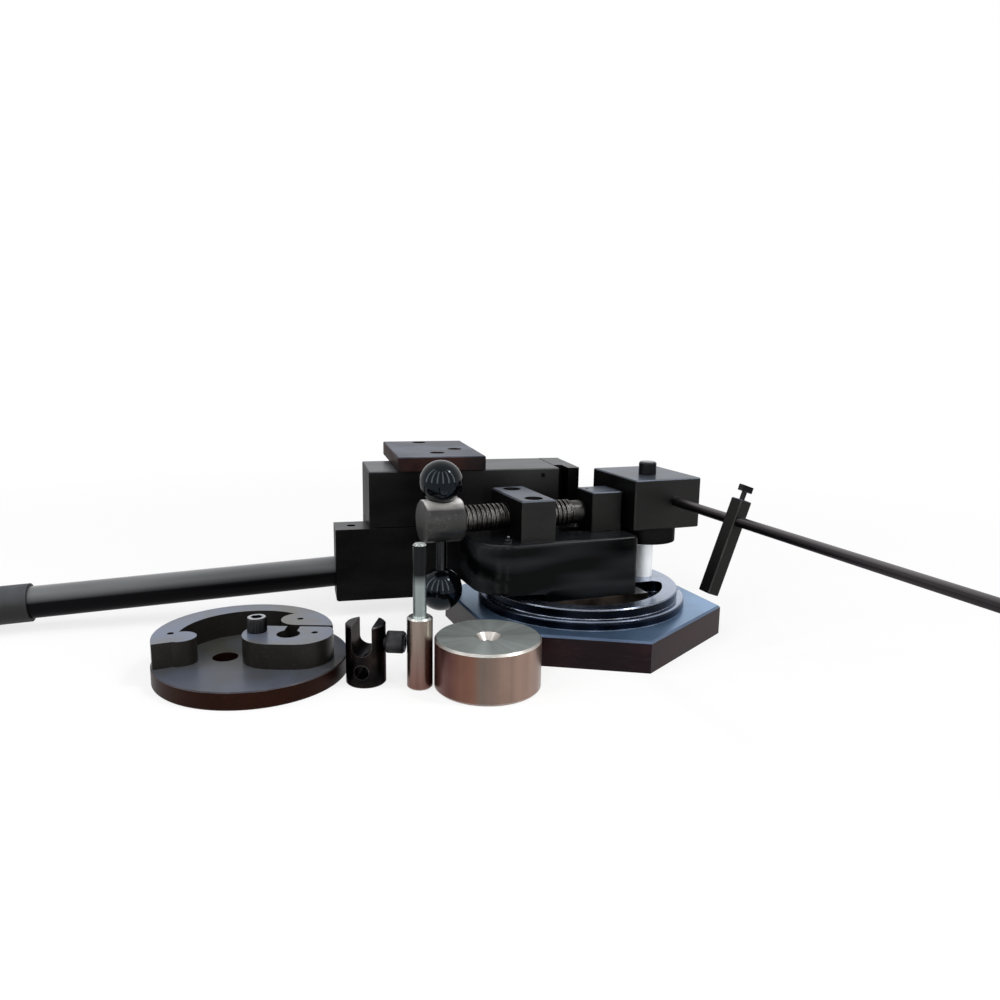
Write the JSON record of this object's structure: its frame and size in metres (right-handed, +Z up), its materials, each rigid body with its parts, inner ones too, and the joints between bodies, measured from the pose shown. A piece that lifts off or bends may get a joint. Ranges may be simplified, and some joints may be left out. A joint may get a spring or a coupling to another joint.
{
  "type": "manual bar bending machine",
  "caption": "Black bench-top bar bender: hexagonal base, screw clamp and die, swinging arm with long handle, length gauge and loose scroll and roller tools.",
  "frame": {"origin": "centre of the base plate's underside", "axes": "+X along the clamp screw towards the die, +Y away from the operator, +Z up"},
  "size_m": [0.8128, 0.7375, 0.188],
  "materials": {
    "black_steel": "blackened, satin",
    "black_casting": "black paint over casting",
    "bright_steel": "turned, bare",
    "black_screws": "blackened",
    "bronze": "turned",
    "ball_black": "gloss",
    "grip_rubber": "matte",
    "scroll_steel": "oiled dark steel"
  },
  "bodies": {
    "base": {"base_plate": "black_steel", "deck_ring": "black_steel", "foot_plate": "bright_steel", "main_bolts": "black_screws", "vise_body": "black_casting", "nut_block": "black_steel", "nut_bolts": "black_screws", "grease_nipple": "bright_steel", "pivot_pin": "bright_steel", "thrust_washer": "bronze", "die_block": "black_steel", "die_key": "bright_steel", "die_cap": "black_steel", "rod_set_screw": "black_screws"},
    "arm": {"arm_beam": "black_steel", "pivot_bush": "bronze", "wing_block": "black_steel", "wing_bolts": "black_screws", "nose_insert": "black_steel", "nose_screws": "black_screws", "wing_set_screw": "black_screws", "top_plate": "black_steel", "top_plate_screws": "black_screws", "handle_tube": "black_steel", "grip_sleeve": "grip_rubber", "handle_set_screw": "black_screws"},
    "jaw": {"jaw_block": "black_steel", "jaw_pin": "bright_steel"},
    "crank": {"clamp_screw": "bright_steel", "crank_hub": "black_steel"},
    "tommy": {"tommy_bar": "bright_steel", "tommy_ball_upper": "ball_black", "tommy_ball_lower": "ball_black"},
    "gauge": {"gauge_rod": "black_steel"},
    "stop": {"stop_arm": "black_steel"},
    "stop_clamp": {"stop_screw": "black_steel"},
    "scroll_die": {"scroll_plate": "scroll_steel", "outer_scroll": "scroll_steel", "inner_scroll": "scroll_steel", "scroll_screw": "black_screws", "scroll_dowels": "scroll_steel"},
    "holder": {"fork_holder": "black_steel"},
    "holder_bolt": {"fork_bolt": "black_steel"},
    "spindle": {"tool_pin": "bright_steel"},
    "roller_tool": {"roller": "bright_steel"}
  },
  "joints": [
    {"name": "arm_swing", "type": "hinge", "parent": "base", "child": "arm", "pos_m": [0.078, 0, 0.1097], "axis": [0, 0, -1], "range_deg": [0, 130]},
    {"name": "jaw_slide", "type": "slide", "parent": "base", "child": "jaw", "axis": [1, 0, 0], "range_m": [-0.024, 0.0047]},
    {"name": "crank_spin", "type": "hinge", "parent": "jaw", "child": "crank", "pos_m": [-0.159, 0, 0.127], "axis": [1, 0, 0], "range_deg": [-1720, 330]},
    {"name": "tommy_slide", "type": "slide", "parent": "crank", "child": "tommy", "axis": [0, 0, 1], "range_m": [0, 0.0272]},
    {"name": "gauge_rod_turn", "type": "hinge", "parent": "base", "child": "gauge", "pos_m": [0.091, -0.038, 0.1395], "axis": [0, 1, 0], "range_deg": [-180, 180]},
    {"name": "stop_slide", "type": "slide", "parent": "gauge", "child": "stop", "axis": [0, 1, 0], "range_m": [-0.346, 0.086]},
    {"name": "stop_screw_turn", "type": "hinge", "parent": "stop", "child": "stop_clamp", "pos_m": [0.091, -0.14, 0.1395], "axis": [0.3338, 0, 0.9426], "range_deg": [-180, 180]},
    {"name": "scroll_die_lift", "type": "slide", "parent": "base", "child": "scroll_die", "axis": [0, 0, 1], "range_m": [0, 0.12]},
    {"name": "holder_lift", "type": "slide", "parent": "base", "child": "holder", "axis": [0, 0, 1], "range_m": [0, 0.12]},
    {"name": "holder_bolt_turn", "type": "hinge", "parent": "holder", "child": "holder_bolt", "pos_m": [-0.25439, -0.07943, 0.0385], "axis": [0.8988, -0.4384, 0], "range_deg": [-180, 180]},
    {"name": "spindle_lift", "type": "slide", "parent": "base", "child": "spindle", "axis": [0, 0, 1], "range_m": [0, 0.12]},
    {"name": "roller_lift", "type": "slide", "parent": "base", "child": "roller_tool", "axis": [0, 0, 1], "range_m": [0, 0.12]}
  ],
  "couplings": [
    {"joint": "jaw_slide", "follows": "crank_spin", "m_per_rad": 0.00079577}
  ]
}
